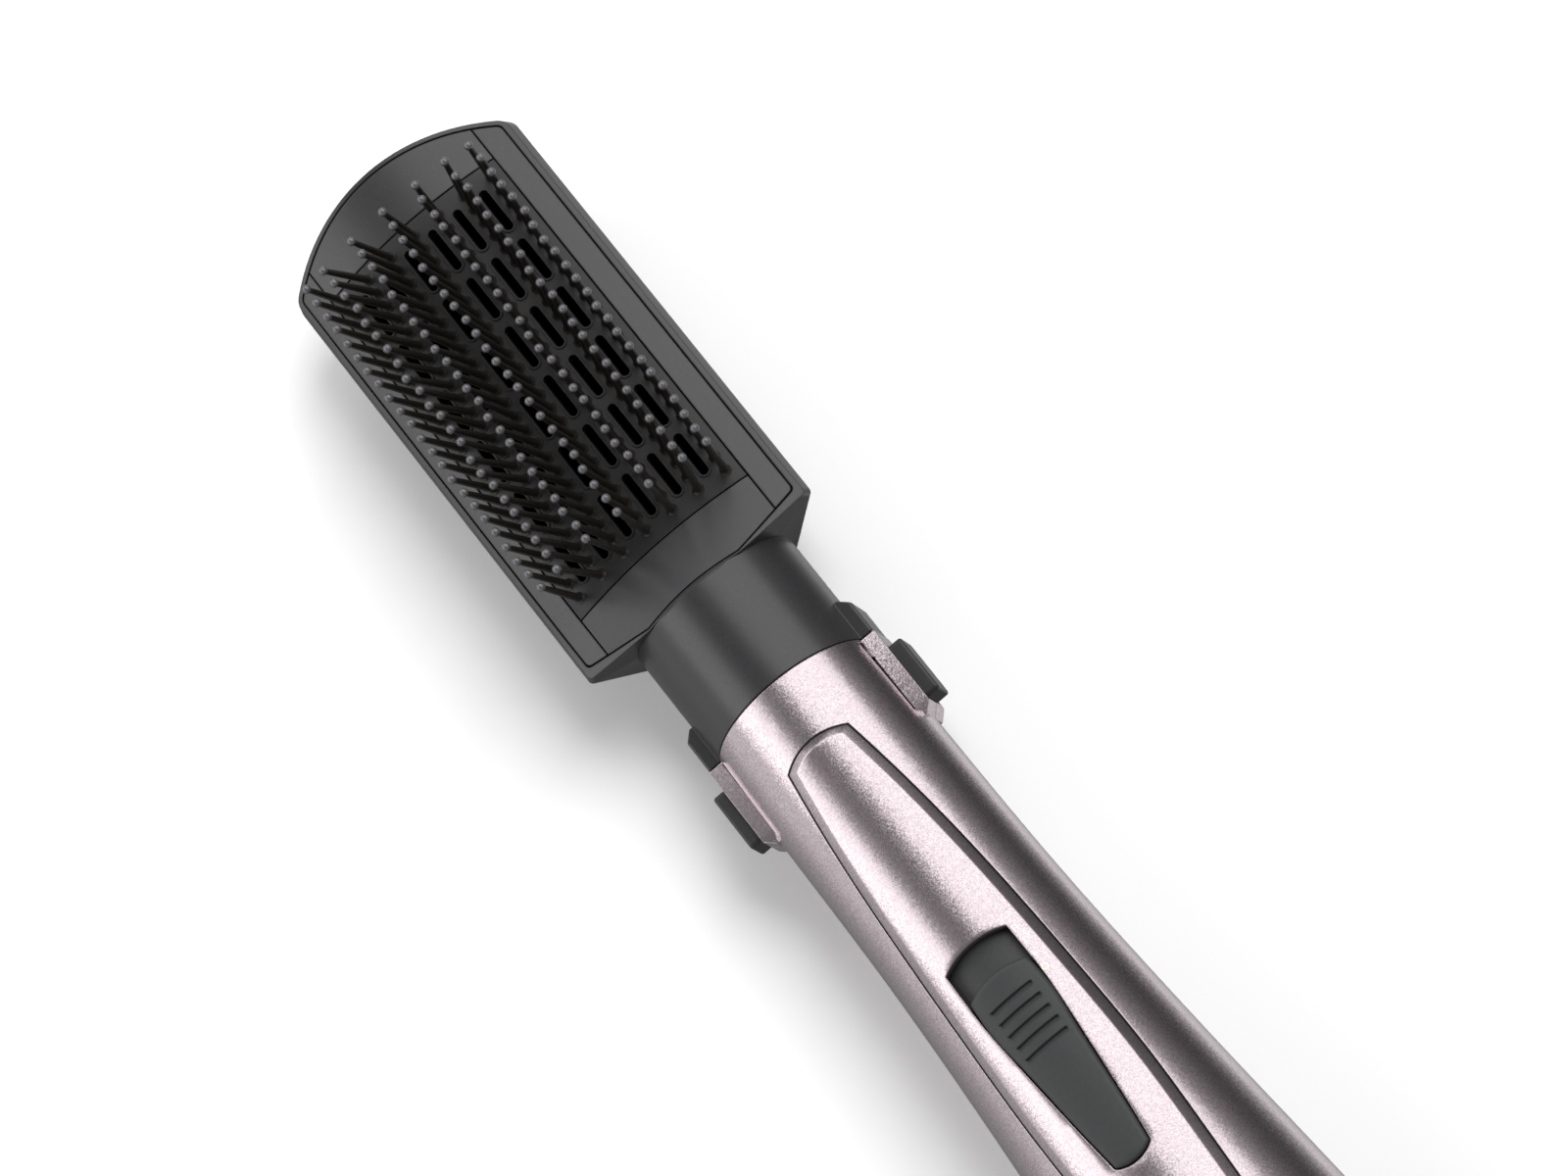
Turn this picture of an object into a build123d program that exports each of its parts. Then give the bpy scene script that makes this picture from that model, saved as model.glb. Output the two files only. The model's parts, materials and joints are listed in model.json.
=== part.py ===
from build123d import *
import math
import os

os.makedirs("parts", exist_ok=True)

# A hot air brush: a flared barrel handle with motor, heater and switch, and a
# paddle head with seven columns of bristles that plugs on to its front end.
# The model is drawn with the barrel axis on Y, the head towards +Y, the
# bristles towards +Z and the seam between handle and head at Y = 0. It is
# moved at the end so that it stands on Z = 0 with its middle at Y = 0.
# All lengths are millimetres.

# ---------------------------------------------------------------- handle
BARREL_R = 22.0            # barrel radius at the seam
# Barrel radius at distances behind the seam: straight, then flaring
BARREL_PROFILE = [(0, 22.0), (-31, 22.5), (-65, 23.1), (-98, 24.7),
                  (-136, 27.35), (-171, 30.0), (-196, 31.2)]
HANDLE_END = -196.0        # where the shells meet the rear cap
WALL = 2.2                 # shell wall
CAP_END = -214.0           # rear face of the cap
CAP_FACE_R = 23.0          # flat part of the rear face
GLAND_END = -221.0         # end of the cord gland
CORD_R = 3.5               # cord hole in the gland
GLAND_R = 8.7              # gland where it turns in the cap

# Side rails that carry the release buttons
RAIL_X = 24.8
RAIL_Z = 5.8
RAIL_REAR = -23.5
RAIL_FRONT = 11.0
RAIL_CHAMFER = 2.4
BUTTON_Y = -12.3
BUTTON_LENGTH = 15.3
BUTTON_HEIGHT = 8.5
BUTTON_FACE_X = 28.1
BUTTON_BACK_X = 18.4       # where the button's flange starts
BUTTON_FLANGE_X = 17.2
BUTTON_GAP = 0.3
RAIL_SLIT = (20.4, 22.0)   # slit along the root of each rail
RAIL_SLIT_Z = (4.4, 8.0)

# Screws that hold the lower shell to the upper one
SCREW_Y = -184.0
SCREW_X = 15.0
SCREW_HEAD_Z = -19.0
SCREW_HEAD_R = 2.8
SCREW_SHANK_R = 1.2
SCREW_HOLE_R = 1.7
POST_R = 3.6

# Raised switch panel: half widths along the barrel, front to rear
PANEL_SIDE = [(8.7, -18.6), (10.9, -34), (13.8, -66.5), (15.2, -96),
              (15.8, -121), (15.1, -147), (14.2, -166), (12.6, -181)]
PANEL_FRONT_Y = -16.3
PANEL_REAR_Y = -184.5
PANEL_RISE = 1.0
PANEL_SET = 1.2            # depth of the panel's recess in the shell
PANEL_GAP = 0.25
FIT = 0.05                 # play between parts that lie on each other

# Window for the switch knob, half widths along the barrel
WINDOW_SIDE = [(8.75, -79.1), (8.9, -92.8), (8.0, -107), (6.65, -123), (5.1, -138.6)]
WINDOW_FRONT_Y = -77.4
WINDOW_REAR_Y = -140.5
KNOB_FRONT_Y = -86.3
KNOB_GAP = 0.3
KNOB_RISE = 1.7
KNOB_FRONT_HALF = 8.2
KNOB_FRONT_BOW = 1.6       # how far the knob's front edge bows forward
KNOB_ROOT = -2.0           # level of the knob's underside
SLED_ROOT = -3.2           # level of the underside of the plate below it
SLED_HALF = 9.8
SLED_FRONT_Y = -76.6
SLED_REAR_Y = -150.0
GROOVE_YS = [-93.6, -97.0, -100.4, -103.7, -107.1]
GROOVE_HALF_WIDTH = 6.0
GROOVE_WIDTH = 1.3
GROOVE_DEPTH = 0.7

# ---------------------------------------------------------------- head
HEAD_HALF = 33.5
HEAD_TIP = 164.2
HEAD_SAGITTA = 9.9         # depth of the arch at the tip
RIM_Z = 6.0                # widest level of the head
RIM_TOP_Z = 10.6
RIM_BEVEL = 1.2
RIM_INNER = 31.2           # half width of the opening that holds the panels
RIM_BAND = 1.6             # rim width at the tip
TIP_SLOPE = 0.45           # how far the tip runs in for each mm of the sides
BACK_INSET = 20.5          # how far the sides run in at the flat back
KNEE_Z = -14.0             # level where the sides turn into the back
KNEE_INSET = 15.5
BACK_Z = -18.0
TAIL_CORNER = 1.5          # rounding of the corners beside the neck
CROWN_Z = 17.5             # top of the pad on the centre line
CROWN_R = 72.0
SADDLE_Z = 21.8            # top of the head where it meets the neck, on the centre line
SADDLE_EDGE_Z = 8.0
PAD_HALF = 25.3
PAD_FRONT_Y = 147.0
PAD_REAR_Y = 45.5
LINE = 0.35                # gap between neighbouring panels
PANEL_THICK = 2.2
NECK_END = 33.0
NECK_FOOT_Y = 31.0         # where the neck ends below the head's flat back
NECK_START = 0.3
NECK_BORE_R = 20.0
PASSAGE_R = 15.5           # air passage from the neck into the head
HEAD_SCREW_YS = (41.0, 150.5)
CATCH_X = (15.0, 21.9)     # window in the neck that a latch arm hooks into
CATCH_Y = (3.4, 9.2)
CATCH_HALF = 4.2

# Bristles and air slots
COLUMNS = 7
ROWS = 23
COLUMN_PITCH = 7.37
FIRST_ROW_Y = 49.5
ROW_PITCH = 4.27
LEAN_DEG = [0.0, 5.8, 11.0, 8.6]
BRISTLE_LENGTH = 21.3
BRISTLE_BASE_R = 0.95
BRISTLE_TIP_R = 0.65
BALL_R = 1.05
BRISTLE_ROOT = 3.4         # depth of the bristles' foot below the pad
SLOT_ROWS = 6
SLOT_PITCH = 15.6
SLOT_LENGTH = 12.3
SLOT_WIDTH = 2.2
SLOT_LIP = 0.5
SLOT_LIP_RISE = 0.35
FIELD_Y = FIRST_ROW_Y + ROW_PITCH * (ROWS - 1) / 2

BIG = 400.0


# ---------------------------------------------------------------- helpers
def box(x0, x1, y0, y1, z0, z1):
    """A box between two corners."""
    size = Box(x1 - x0, y1 - y0, z1 - z0)
    return Pos((x0 + x1) / 2, (y0 + y1) / 2, (z0 + z1) / 2) * size


def rod(radius, y0, y1, x=0.0, z=0.0):
    """A cylinder along Y."""
    turned = Rot(-90, 0, 0) * Cylinder(radius, y1 - y0)
    return Pos(x, (y0 + y1) / 2, z) * turned


def tube(outer, inner, y0, y1):
    """A tube along Y on the barrel axis."""
    return rod(outer, y0, y1) - rod(inner, y0 - 1, y1 + 1)


def turned_solid(points):
    """A solid of revolution about Y from (radius, y) corners."""
    corners = [(0, points[0][1])] + list(points) + [(0, points[-1][1])]
    return revolve(make_face(Polyline(*corners, close=True)), Axis.Y)


def barrel(offset):
    """The barrel's outer surface moved out by offset, as a full solid."""
    line = Spline(*[(radius + offset, y) for y, radius in BARREL_PROFILE])
    front = line @ 0
    rear = line @ 1
    closing = Polyline((rear.X, rear.Y), (0, rear.Y), (0, front.Y), (front.X, front.Y))
    return revolve(make_face(line + closing), Axis.Y)


def barrel_radius(y):
    """Barrel radius at y, by straight steps between the profile's points."""
    for (ya, ra), (yb, rb) in zip(BARREL_PROFILE, BARREL_PROFILE[1:]):
        if yb <= y <= ya:
            return ra + (rb - ra) * (ya - y) / (ya - yb)
    return BARREL_R


def leaf(side, front_y, rear_y, grow):
    """A closed outline with curved sides and arched ends, grown by grow."""
    right = [(x + grow, y) for x, y in side]
    right[0] = (right[0][0], right[0][1] + grow)
    right[-1] = (right[-1][0], right[-1][1] - grow)
    left = [(-x, y) for x, y in reversed(right)]
    sides = Spline(*right) + Spline(*left)
    front = ThreePointArc(left[-1], (0, front_y + grow), right[0])
    rear = ThreePointArc(right[-1], (0, rear_y - grow), left[0])
    return make_face(sides + front + rear)


def prism(face, z0, z1):
    """A face in the XY plane made into a prism between two levels."""
    return extrude(Pos(0, 0, z0) * face, z1 - z0)


def mirrored(shape):
    """The same shape on the other side of the YZ plane."""
    return mirror(shape, Plane.YZ)


# ---------------------------------------------------------------- handle shells
def rail_block(x_inner):
    """The right-hand rail on the barrel, behind the seam."""
    plan = Polyline((x_inner, 0), (RAIL_X, 0), (RAIL_X, RAIL_REAR + RAIL_CHAMFER),
                    (RAIL_X - RAIL_CHAMFER, RAIL_REAR), (x_inner, RAIL_REAR), close=True)
    block = prism(make_face(plan), -RAIL_Z, RAIL_Z)
    long_edges = block.edges().filter_by(Axis.Y).sort_by(Axis.X)[-2:]
    return fillet(long_edges, 0.6)


def button_window(grow):
    """The room that the right-hand button needs through the rail."""
    half_length = BUTTON_LENGTH / 2 + grow
    half_height = BUTTON_HEIGHT / 2 + grow
    return box(15, 40, BUTTON_Y - half_length, BUTTON_Y + half_length,
               -half_height, half_height)


def handle_body():
    """Both shells in one piece, before they are split along the middle."""
    body = barrel(0) + rail_block(15) + mirrored(rail_block(15))
    body -= barrel(-WALL)
    top_slit = box(*RAIL_SLIT, RAIL_REAR + 1.5, -0.8, *RAIL_SLIT_Z)
    bottom_slit = mirror(top_slit, Plane.XY)
    for cut in (button_window(BUTTON_GAP), top_slit, bottom_slit):
        body -= cut
        body -= mirrored(cut)
    return body


def screw_post(x):
    """Post in the lower shell that a shell screw passes up through."""
    return Pos(x, SCREW_Y, 0) * Cylinder(POST_R, 2 * BIG)


body = handle_body()
inside = barrel(-WALL)
posts = (screw_post(SCREW_X) + screw_post(-SCREW_X)) & inside

panel_cut = prism(leaf(PANEL_SIDE, PANEL_FRONT_Y, PANEL_REAR_Y, PANEL_GAP), 5, 40)
recess = panel_cut - barrel(-PANEL_SET)
sled_room = box(-SLED_HALF - 0.8, SLED_HALF + 0.8, SLED_REAR_Y - 1.5, SLED_FRONT_Y + 9.6, 10, 40)

upper_shell = body & box(-40, 40, HANDLE_END, 1, 0, 40)
upper_shell += posts & box(-40, 40, HANDLE_END, 0, 0.0, 40)
upper_shell -= recess
upper_shell -= sled_room
for side in (-1, 1):
    upper_shell -= Pos(side * SCREW_X, SCREW_Y, 4.0) * Cylinder(SCREW_SHANK_R, 16)

lower_shell = body & box(-40, 40, HANDLE_END, 1, -40, -0.05)
lower_shell += posts & box(-40, 40, HANDLE_END, 0, -40, -0.05)
for side in (-1, 1):
    screw_hole = Pos(side * SCREW_X, SCREW_Y, -10) * Cylinder(SCREW_HOLE_R, 60)
    head_room = Pos(side * SCREW_X, SCREW_Y, SCREW_HEAD_Z - 10) * Cylinder(SCREW_HEAD_R + 0.2, 20)
    lower_shell -= screw_hole
    lower_shell -= head_room


def screw(length):
    """Pan-head screw, head down at Z = 0 and shank up, with a cross recess."""
    head_height = 1.8
    head = Pos(0, 0, -head_height / 2) * Cylinder(SCREW_HEAD_R, head_height)
    head = fillet(head.edges().sort_by(Axis.Z)[0], 0.6)
    shank = Pos(0, 0, length / 2) * Cylinder(SCREW_SHANK_R, length)
    cross_span = SCREW_HEAD_R * 1.3
    cross = Box(cross_span, 0.7, 1.6) + Box(0.7, cross_span, 1.6)
    return head + shank - Pos(0, 0, -head_height) * cross


shell_screws = Compound(children=[
    Pos(side * SCREW_X, SCREW_Y, SCREW_HEAD_Z) * screw(26) for side in (-1, 1)])

# ---------------------------------------------------------------- switch panel
def skin(solid, outer, inner):
    """The part of a prism that lies between two offsets of the barrel."""
    return solid & (barrel(outer) - barrel(inner))


window = prism(leaf(WINDOW_SIDE, WINDOW_FRONT_Y, WINDOW_REAR_Y, 0), 5, 40)
panel_prism = prism(leaf(PANEL_SIDE, PANEL_FRONT_Y, PANEL_REAR_Y, 0), 5, 40)
switch_panel = skin(panel_prism - window, PANEL_RISE, FIT - PANEL_SET)

# ---------------------------------------------------------------- switch
knob_side = [(KNOB_FRONT_HALF, KNOB_FRONT_Y - KNOB_FRONT_BOW)]
knob_side += [(x - KNOB_GAP, y) for x, y in WINDOW_SIDE[1:]]
knob_outline = leaf(knob_side, KNOB_FRONT_Y, WINDOW_REAR_Y + KNOB_GAP, 0)
switch_knob = skin(prism(knob_outline, 5, 40), KNOB_RISE, KNOB_ROOT)
for y in GROOVE_YS:
    surface = barrel_radius(y) + KNOB_RISE
    switch_knob -= box(-GROOVE_HALF_WIDTH, GROOVE_HALF_WIDTH, y - GROOVE_WIDTH / 2,
                       y + GROOVE_WIDTH / 2, surface - GROOVE_DEPTH, surface + 5)

sled_block = box(-SLED_HALF, SLED_HALF, SLED_REAR_Y, SLED_FRONT_Y, 10, 40)
sled_plate = skin(sled_block, KNOB_ROOT, SLED_ROOT)
sled_stem = box(-2.0, 2.0, -127.0, -121.0, 19.8, 23.0)
switch_sled = sled_plate + sled_stem

switch_body = box(-6.0, 6.0, -134.0, -106.0, 14.0, 19.4)
switch_body -= box(-2.6, 2.6, -128.0, -111.0, 17.0, 20.0)

# ---------------------------------------------------------------- release buttons
button_block = button_window(0) & box(BUTTON_BACK_X, BUTTON_FACE_X, -40, 0, -10, 10)
button_block = fillet(button_block.edges().filter_by(Axis.X), 1.0)
button_block = fillet(button_block.faces().sort_by(Axis.X)[-1].edges(), 0.7)
button_flange = box(BUTTON_FLANGE_X, BUTTON_BACK_X, BUTTON_Y - 9.0, BUTTON_Y + 8.2, -5.4, 5.4)
release_button_right = button_block + button_flange
release_button_left = mirrored(release_button_right)

# ---------------------------------------------------------------- outlet barrel
OUTLET_R = 18.9
OUTLET_BORE_R = 17.4
OUTLET_COLLAR_R = 19.6
OUTLET_FRONT = 24.0
OUTLET_REAR = -30.0
THROAT_R = 17.0            # throat between the latch arms, with flat sides
THROAT_BORE_R = 15.5
THROAT_FLAT = 25.8
ARM_ROOM_HALF = 3.6
throat_wall = THROAT_R - THROAT_BORE_R
throat_shape = Rectangle(THROAT_FLAT, 60) & Circle(THROAT_R)
bore_shape = Rectangle(THROAT_FLAT - 2 * throat_wall, 60) & Circle(THROAT_BORE_R)
throat = Pos(0, -3, 0) * Rot(90, 0, 0) * extrude(throat_shape, -OUTLET_REAR - 3)
throat_bore = Pos(0, -2, 0) * Rot(90, 0, 0) * extrude(bore_shape, -OUTLET_REAR)
outlet_barrel = tube(OUTLET_R, OUTLET_BORE_R, -3.0, OUTLET_FRONT) + rod(OUTLET_COLLAR_R, -3.0, -1.0)
outlet_barrel += throat
outlet_barrel -= throat_bore
outlet_barrel += tube(OUTLET_COLLAR_R, THROAT_BORE_R, OUTLET_REAR, OUTLET_REAR + 2.5)
outlet_barrel -= rod(OUTLET_BORE_R, -1.0, 30.0)
arm_room = box(12.95, 23.05, OUTLET_REAR, 12.0, -ARM_ROOM_HALF, ARM_ROOM_HALF)
outlet_barrel -= arm_room
outlet_barrel -= mirrored(arm_room)

GRILLE_Y = (19.0, 20.5)
grille = rod(OUTLET_BORE_R - 0.1, *GRILLE_Y)
for ring_r in (14.5, 9.8, 5.1):
    grille -= tube(ring_r, ring_r - 3.2, *GRILLE_Y)
spokes = box(-16, 16, *GRILLE_Y, -0.8, 0.8) + box(-0.8, 0.8, *GRILLE_Y, -16, 16)
outlet_grille = grille + spokes

arm = box(15.9, 17.1, -26.0, 8.2, -3.0, 3.0)
arm += box(12.95, 15.9, -26.0, -22.0, -3.0, 3.0)
arm += box(17.1, 20.9, 4.2, 8.2, -3.0, 3.0)
latch_arm_right = arm
latch_arm_left = mirrored(arm)

# ---------------------------------------------------------------- heater
SLEEVE_R = 18.4
HEATER_FRONT = -32.0
HEATER_REAR = -106.0
COIL_R = 14.6
WIRE_R = 0.6
COIL_TURNS = 13
mica_sleeve = tube(SLEEVE_R, SLEEVE_R - 0.6, HEATER_REAR, HEATER_FRONT)
coil_ys = [HEATER_FRONT - 10 - 4.6 * i for i in range(COIL_TURNS)]


def wire_ring(y, half):
    """One turn of flat heater wire round the mica cross."""
    return tube(COIL_R + half, COIL_R - half, y - half, y + half)


heater_coil = Compound(children=[wire_ring(y, WIRE_R) for y in coil_ys])
mica_plate_flat = box(-16.5, 16.5, HEATER_REAR, HEATER_FRONT, -0.4, 0.4)
mica_plate_upright = box(-0.4, 0.4, HEATER_REAR, HEATER_FRONT, -16.5, 16.5)
for y in coil_ys:
    mica_plate_flat -= wire_ring(y, WIRE_R + 0.15)
    mica_plate_upright -= wire_ring(y, WIRE_R + 0.15)
mica_plate_flat -= box(-0.45, 0.45, HEATER_REAR - 1, -69.0, -1, 1)
mica_plate_upright -= box(-1, 1, -69.0, HEATER_FRONT + 1, -0.45, 0.45)
thermostat = box(4.0, 9.0, -41.0, -33.5, 0.45, 3.6) + box(5.0, 8.0, -46.0, -41.0, 0.45, 1.2)
thermal_fuse = rod(1.5, -41.0, -33.0, -7.0, 2.1) + rod(0.4, -46.0, -33.0, -7.0, 2.1)

# ---------------------------------------------------------------- motor and fan
MOTOR_R = 12.0
MOTOR_FRONT = -128.0
MOTOR_REAR = -156.0
DUCT_R = 24.0
SHAFT_R = 1.1
VANES = 7
BLADES = 9
FAN_Y = -165.0
motor = rod(MOTOR_R, MOTOR_REAR, MOTOR_FRONT)
motor += rod(4.0, MOTOR_FRONT, MOTOR_FRONT + 2.0)
motor -= rod(SHAFT_R + FIT, MOTOR_REAR - 5, MOTOR_FRONT + 5)
motor_mount = tube(DUCT_R, DUCT_R - 1.5, -176.0, -144.0)
motor_mount += tube(MOTOR_R + 1.6, MOTOR_R + FIT, MOTOR_REAR, -144.0)
for i in range(VANES):
    vane = box(MOTOR_R + 1.0, DUCT_R - 0.6, -155.0, -145.0, -0.6, 0.6)
    motor_mount += Rot(0, 360 / VANES * i, 0) * vane
motor_mount += tube(26.5, DUCT_R, -160.0, -157.5)
motor_shaft = rod(SHAFT_R, FAN_Y - 5.0, -127.0)
hub = rod(7.0, FAN_Y - 6.0, FAN_Y + 5.5)
impeller = fillet(hub.edges().sort_by(Axis.Y)[0], 3.0)
for i in range(BLADES):
    blade = Pos(14.0, FAN_Y, 0) * Rot(38, 0, 0) * Box(15.0, 9.5, 1.0)
    impeller += Rot(0, 360 / BLADES * i, 0) * blade
impeller -= rod(SHAFT_R, FAN_Y - 15, FAN_Y + 15)
rectifier_board = tube(11.5, 4.5, -124.0, -122.4)
BOARD_RING = 8.0           # circle that the diodes and the motor's pins stand on
for i in range(4):
    diode = rod(1.2, -122.4, -117.6, BOARD_RING)
    rectifier_board += Rot(0, 45 + 90 * i, 0) * diode
for side in (-1, 1):
    rectifier_board += rod(0.5, MOTOR_FRONT, -124.0, BOARD_RING * side)

# ---------------------------------------------------------------- rear cap
CAP_WALL = 2.6
CAP_SPIGOT_R = 28.7        # ring that plugs into the shells


def cap_shape(inset):
    """The domed cap, its surface moved in by inset."""
    rim = (BARREL_PROFILE[-1][1] - inset, HANDLE_END - 0.3)
    face_edge = (CAP_FACE_R - inset * 0.3, CAP_END + inset * 0.85)
    dome = TangentArc(rim, face_edge, tangent=(0, -1))
    closing = Polyline(face_edge, (0, face_edge[1]), (0, rim[1]), rim)
    return revolve(make_face(dome + closing), Axis.Y)


cap_outer = cap_shape(0)
cap_outer = fillet(cap_outer.edges().group_by(Axis.Y)[0], 2.0)
rear_cap = cap_outer - cap_shape(CAP_WALL)
rear_cap += tube(CAP_SPIGOT_R, CAP_SPIGOT_R - 1.5, -202.0, -190.0)
rear_cap -= rod(GLAND_R + FIT, CAP_END - 1, -200.0)
for ring, count in ((13.0, 12), (18.4, 18)):
    for i in range(count):
        vent = Pos(ring, 0, 0) * box(-2.0, 2.0, CAP_END - 2, -208.0, -1.1, 1.1)
        rear_cap -= Rot(0, 360 / count * i, 0) * vent
intake_filter = rod(26.4, -205.6, -204.6) - rod(14.3, -207, -203)

gland = turned_solid([(12.0, -208.0), (12.0, -210.0), (GLAND_R, -210.0), (GLAND_R, -214.6),
                      (7.4, -216.0), (6.6, GLAND_END)])
cord_gland = gland - rod(CORD_R, GLAND_END - 1, -200.0)
cord_gland = fillet(cord_gland.edges().group_by(Axis.Y)[0], 0.8)
gland_retainer = tube(12.35, 6.0, -207.7, -202.0) + tube(14.0, 12.35, -211.6, -202.0)

# ---------------------------------------------------------------- head
def head_outline(half, tip_y, side_y, middle_y, corner):
    """Plan of the head: arched tip, straight sides, tail edges that slant in."""
    shoulder_y = tip_y - HEAD_SAGITTA * half / HEAD_HALF
    tail_x = min(13.5, half * 0.5)
    tail = Polyline((half, shoulder_y), (half, side_y), (tail_x, middle_y),
                    (-tail_x, middle_y), (-half, side_y), (-half, shoulder_y))
    arch = ThreePointArc((-half, shoulder_y), (0, tip_y), (half, shoulder_y))
    face = make_face(tail + arch)
    face = fillet(face.vertices().sort_by(Axis.Y)[-2:], corner)
    tail_corners = face.vertices().filter_by_position(Axis.Y, side_y - 0.01, side_y + 0.01)
    return fillet(tail_corners, TAIL_CORNER)


def head_level(z, inset):
    """The outer outline of the head's tray at a level."""
    tail_side = 34.7 - inset * 0.15
    tail_middle = 30.5 + inset * 0.1
    tip_y = HEAD_TIP - inset * TIP_SLOPE
    outline = head_outline(HEAD_HALF - inset, tip_y, tail_side, tail_middle, 3.5)
    return Pos(0, 0, z) * outline


def tray(inset, floor_z):
    """The boat-shaped tray, cut off flat at floor_z."""
    lower = loft([head_level(BACK_Z, BACK_INSET + inset), head_level(KNEE_Z, KNEE_INSET + inset),
                  head_level(RIM_Z, inset)], ruled=True)
    upper = loft([head_level(RIM_Z, inset), head_level(RIM_TOP_Z, RIM_BEVEL + inset)], ruled=True)
    upper += prism(head_level(0, RIM_BEVEL + inset), RIM_TOP_Z, 30)
    solid = lower + upper
    return solid & box(-50, 50, 20, 200, floor_z, 60)


def crown(drop):
    """Everything below the head's crowned top, lowered by drop."""
    edge_z = CROWN_Z - CROWN_R + math.sqrt(CROWN_R ** 2 - 36 ** 2)
    half_saddle = [(6, 21.0), (12, 18.8), (22, 13.9), (36, SADDLE_EDGE_Z)]
    saddle = [(-x, z) for x, z in reversed(half_saddle)] + [(0, SADDLE_Z)] + half_saddle
    arc = ThreePointArc((-36, edge_z), (0, CROWN_Z), (36, edge_z))
    arc_face = make_face(arc + Polyline((36, edge_z), (36, -40), (-36, -40), (-36, edge_z)))
    curve = Spline(*saddle)
    end_face = make_face(curve + Polyline((36, SADDLE_EDGE_Z), (36, -40), (-36, -40), (-36, SADDLE_EDGE_Z)))
    front = Pos(0, 180, 0) * Rot(90, 0, 0) * arc_face
    middle = Pos(0, 46, 0) * Rot(90, 0, 0) * arc_face
    rear = Pos(0, 30, 0) * Rot(90, 0, 0) * end_face
    solid = loft([middle, front], ruled=True) + loft([rear, middle], ruled=True)
    return Pos(0, 0, -drop) * solid


def plan_prism(points):
    """Prism over the head from a plan polygon."""
    return prism(make_face(Polyline(*points, close=True)), -5, 60)


def tail_y(x):
    """The line along the bottom of the panels, from the middle outwards."""
    return 31.0 if abs(x) < 12.6 else 31.0 + (abs(x) - 12.6) * 0.305


rim_inner = head_outline(RIM_INNER, HEAD_TIP - RIM_BAND, tail_y(RIM_INNER), tail_y(0), 2.0)
pocket = prism(rim_inner, -5, 60)
crown_top = crown(0)
crown_floor = crown(PANEL_THICK)
panel_skin = crown_top - crown(PANEL_THICK - FIT)

neck_rail_x = RAIL_X - 0.2
neck_rail = make_face(Polyline((15, NECK_START), (neck_rail_x, NECK_START),
                               (neck_rail_x, RAIL_FRONT - RAIL_CHAMFER),
                               (neck_rail_x - RAIL_CHAMFER, RAIL_FRONT), (15, RAIL_FRONT), close=True))
neck_rail = prism(neck_rail, -RAIL_Z, RAIL_Z)
neck_rail = fillet(neck_rail.edges().filter_by(Axis.Y).sort_by(Axis.X)[-2:], 0.6)
catch = box(*CATCH_X, *CATCH_Y, -CATCH_HALF, CATCH_HALF)
tray_outer = tray(0, BACK_Z) & crown_top
behind_crown = box(-50, 50, 0, 30.0, -50, 50)
head_neck = rod(BARREL_R, NECK_START, NECK_END) & (crown_top + behind_crown)
head_neck -= box(-50, 50, NECK_FOOT_Y, 40, -50, BACK_Z)
head_neck -= tray_outer
head_neck += neck_rail
head_neck += mirrored(neck_rail)
head_neck -= rod(NECK_BORE_R, -1, 28.0)
head_neck -= rod(PASSAGE_R, 27.0, 45.0, 0, -1.5)
head_neck -= catch
head_neck -= mirrored(catch)

cavity = tray(4.0, BACK_Z + 2.2) & crown_floor
cavity &= box(-50, 50, 37.5, 200, -50, 50)
head_shell = tray_outer - (pocket - crown_floor) - cavity
head_shell -= rod(PASSAGE_R, 27.0, 45.0, 0, -1.5)
for y in HEAD_SCREW_YS:
    head_shell += Pos(0, y, -9) * Cylinder(POST_R - 0.2, 17.9)
    head_shell -= Pos(0, y, 0) * Cylinder(SCREW_HOLE_R, 60)
    head_shell -= Pos(0, y, BACK_Z) * Cylinder(SCREW_HEAD_R + 0.3, 6.0)
head_screws = Compound(children=[Pos(0, y, BACK_Z + 3.0) * screw(20) for y in HEAD_SCREW_YS])

side_plan = [(PAD_HALF + LINE / 2, tail_y(PAD_HALF) + LINE), (RIM_INNER - LINE, tail_y(RIM_INNER) + LINE),
             (RIM_INNER - LINE, 200), (PAD_HALF + LINE / 2, 200)]
panel_room = prism(head_outline(RIM_INNER - LINE, HEAD_TIP - RIM_BAND - LINE,
                                tail_y(RIM_INNER) + LINE, tail_y(0) + LINE, 1.8), -5, 60)
side_strip_right = plan_prism(side_plan) & panel_room & panel_skin
side_strip_left = mirrored(side_strip_right)
inner_half = PAD_HALF - LINE / 2
top_panel = box(-inner_half, inner_half, PAD_FRONT_Y + LINE / 2, 200, -5, 60) & panel_room & panel_skin
bottom_panel = box(-inner_half, inner_half, 20, PAD_REAR_Y - LINE / 2, -5, 60) & panel_room & panel_skin
for y in HEAD_SCREW_YS:
    boss = (Pos(0, y, 30) * Cylinder(2.8, 60)) & crown(PANEL_THICK / 2)
    boss -= Pos(0, y, 0) * Cylinder(SCREW_SHANK_R, 11)
    if y > PAD_FRONT_Y:
        top_panel += boss
    else:
        bottom_panel += boss

# ---------------------------------------------------------------- pad and bristles
pad = box(-inner_half, inner_half, PAD_REAR_Y + LINE / 2, PAD_FRONT_Y - LINE / 2, -5, 60) & panel_skin


def crown_z(x):
    """Height of the crowned pad at x."""
    return CROWN_Z - CROWN_R + math.sqrt(CROWN_R ** 2 - x ** 2)


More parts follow.
